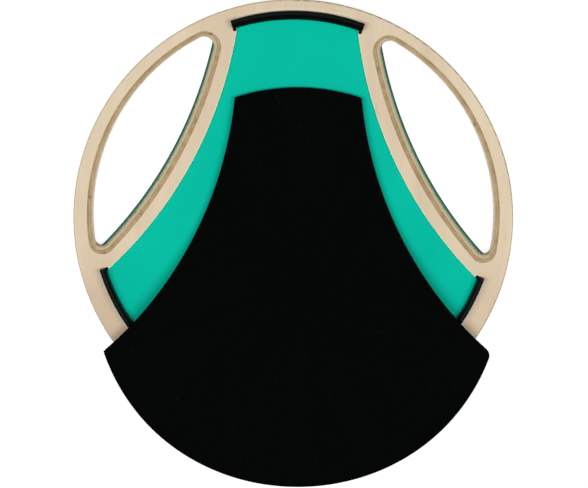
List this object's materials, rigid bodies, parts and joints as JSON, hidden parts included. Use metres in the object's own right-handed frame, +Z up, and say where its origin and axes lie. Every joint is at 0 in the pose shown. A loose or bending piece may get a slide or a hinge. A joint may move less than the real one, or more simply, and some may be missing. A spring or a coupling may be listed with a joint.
{
  "type": "practice pad",
  "caption": "Round wooden drum practice pad with a rubber playing pocket, raised rim strips, crescent hand-holes, a non-slip base and a loose fabric overlay.",
  "frame": {"origin": "centre of the round board on its underside, the face that rests on a table or stand", "axes": "+Z up through the playing face, +Y away from the player, towards the narrow end of the pocket"},
  "size_m": [0.3556, 0.3982, 0.0263],
  "materials": {
    "birch_plywood": "satin clear lacquer",
    "green_rubber": "smooth matt",
    "black_rubber": "matt",
    "base_rubber": "matt",
    "foam_rubber": "matt, fine pores",
    "black_cloth": "fine knitted face"
  },
  "bodies": {
    "board": {"plywood_board": "birch_plywood", "playing_pad": "green_rubber", "rim_strip_top": "black_rubber", "rim_strip_lower": "black_rubber", "base_sheet": "base_rubber"},
    "overlay": {"overlay_core": "foam_rubber", "overlay_face": "black_cloth"}
  },
  "joints": [
    {"name": "overlay_lift", "type": "slide", "parent": "board", "child": "overlay", "axis": [0, 0, 1], "range_m": [0, 0.08]}
  ]
}
